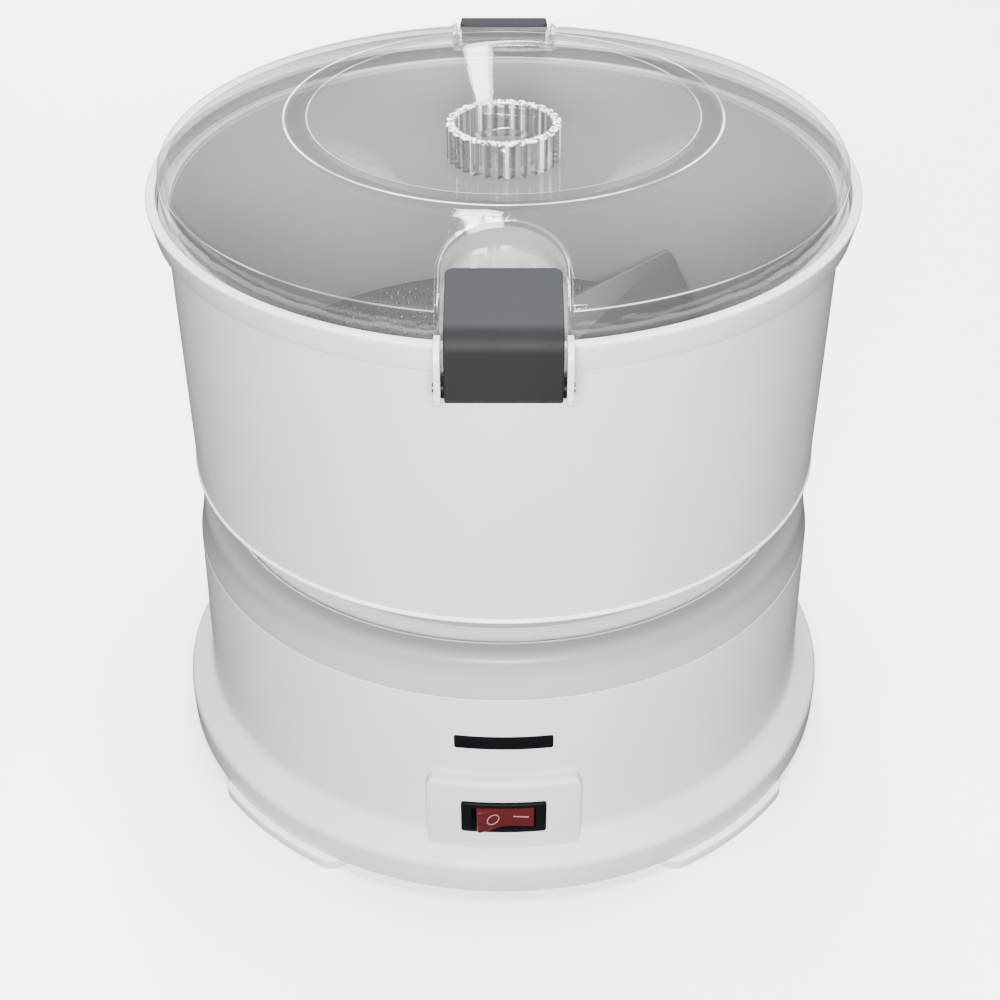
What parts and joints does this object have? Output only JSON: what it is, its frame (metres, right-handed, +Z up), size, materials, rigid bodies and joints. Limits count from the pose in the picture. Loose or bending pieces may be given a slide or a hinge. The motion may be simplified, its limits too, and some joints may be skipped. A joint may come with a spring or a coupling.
{
  "type": "electric potato peeler",
  "caption": "Electric potato peeler: round belt-driven base with rocker switch, twist-off bowl with ridged abrasive disc, clear lid held by hinged clips.",
  "frame": {"origin": "on the spindle's axis, in the plane of the feet", "axes": "+Z up along the spindle, the switch and one clip face -Y, +X to the right seen from the switch"},
  "size_m": [0.27, 0.2728, 0.2601],
  "materials": {
    "white_plastic": "smooth, satin",
    "grey_plastic": "fine grain",
    "foot_rubber": "matt, milky",
    "black_gloss": "glossy",
    "zinc_steel": "zinc plated",
    "cast_aluminium": "as cast",
    "bronze": "sintered, oiled",
    "black_rubber": "matt",
    "screw_steel": "plated",
    "lamination_steel": "stacked sheets, varnished",
    "copper": "enamelled wire",
    "polished_steel": "ground",
    "can_aluminium": "drawn can",
    "ivory_plastic": "satin",
    "inlet_plastic": "satin",
    "black_plastic": "satin",
    "contact_brass": "tinned",
    "lead_sheath": "satin",
    "red_plastic": "glossy, slightly see-through",
    "mark_ink": "printed",
    "pulley_plastic": "glass filled",
    "disc_plastic": "satin",
    "grit_steel": "embossed, sharp bumps",
    "hub_plastic": "satin",
    "bowl_plastic": "smooth, satin",
    "seal_rubber": "soft",
    "pin_steel": "dark",
    "clear_plastic": "clear, polished",
    "clip_plastic": "satin, dark grey"
  },
  "bodies": {
    "base": {"housing": "white_plastic", "top_deck": "white_plastic", "bottom_plate": "grey_plastic", "foot_pads": "foot_rubber", "badge_strip": "black_gloss", "chassis_plate": "zinc_steel", "bearing_tube": "cast_aluminium", "upper_bush": "bronze", "lower_bush": "bronze", "shaft_seal": "black_rubber", "tube_screws": "screw_steel", "deck_screws": "screw_steel", "chassis_screws": "screw_steel", "bottom_screws": "screw_steel", "motor_lower_bracket": "cast_aluminium", "motor_upper_bracket": "cast_aluminium", "stator": "lamination_steel", "windings": "copper", "motor_bearings": "polished_steel", "motor_bolts": "screw_steel", "motor_screws": "screw_steel", "drive_belt": "black_rubber", "capacitor": "can_aluminium", "capacitor_strap": "zinc_steel", "terminal_block": "ivory_plastic", "cord_inlet": "inlet_plastic", "inlet_nut": "inlet_plastic", "cord_clamp": "ivory_plastic", "switch_frame": "black_plastic", "switch_contacts": "contact_brass", "internal_leads": "lead_sheath"},
    "rocker": {"rocker": "red_plastic", "rocker_marks": "mark_ink"},
    "rotor": {"motor_shaft": "polished_steel", "rotor_core": "lamination_steel", "motor_pulley": "polished_steel", "cooling_fan": "black_plastic"},
    "spindle": {"spindle": "polished_steel", "large_pulley": "pulley_plastic", "pulley_nut": "screw_steel", "thrust_washer": "polished_steel", "spindle_circlip": "screw_steel"},
    "disc": {"disc": "disc_plastic", "grit_plates": "grit_steel", "disc_hub_cap": "hub_plastic"},
    "bowl": {"bowl": "bowl_plastic", "rim_collar": "white_plastic", "rim_seal": "seal_rubber", "front_pin": "pin_steel", "back_pin": "pin_steel"},
    "lid": {"lid": "clear_plastic", "lid_knob": "clear_plastic", "knob_rivet": "polished_steel"},
    "front_clip": {"front_clip": "clip_plastic"},
    "back_clip": {"back_clip": "clip_plastic"}
  },
  "joints": [
    {"name": "spindle_spin", "type": "hinge", "parent": "base", "child": "spindle", "pos_m": [0, 0, 0.08], "axis": [0, 0, 1], "continuous": true},
    {"name": "motor_spin", "type": "hinge", "parent": "base", "child": "rotor", "pos_m": [0.075, 0, 0.06], "axis": [0, 0, 1], "continuous": true},
    {"name": "disc_lift", "type": "slide", "parent": "spindle", "child": "disc", "axis": [0, 0, 1], "range_m": [0, 0.025]},
    {"name": "bowl_twist", "type": "hinge", "parent": "base", "child": "bowl", "pos_m": [0, 0, 0.12], "axis": [0, 0, 1], "range_deg": [0, 24]},
    {"name": "lid_lift", "type": "slide", "parent": "bowl", "child": "lid", "axis": [0, 0, 1], "range_m": [0, 0.03]},
    {"name": "front_clip_swing", "type": "hinge", "parent": "bowl", "child": "front_clip", "pos_m": [0, -0.1313, 0.2255], "axis": [1, 0, 0], "range_deg": [0, 130]},
    {"name": "back_clip_swing", "type": "hinge", "parent": "bowl", "child": "back_clip", "pos_m": [0, 0.1313, 0.2255], "axis": [-1, 0, 0], "range_deg": [0, 130]},
    {"name": "rocker_tilt", "type": "hinge", "parent": "base", "child": "rocker", "pos_m": [0, -0.1254, 0.0388], "axis": [0, 0, 1], "range_deg": [-20, 0]}
  ],
  "couplings": [
    {"joint": "motor_spin", "follows": "spindle_spin", "ratio": 7.2},
    {"joint": "front_clip_swing", "follows": "lid_lift", "rad_per_m": 75.6},
    {"joint": "back_clip_swing", "follows": "lid_lift", "rad_per_m": 75.6}
  ]
}
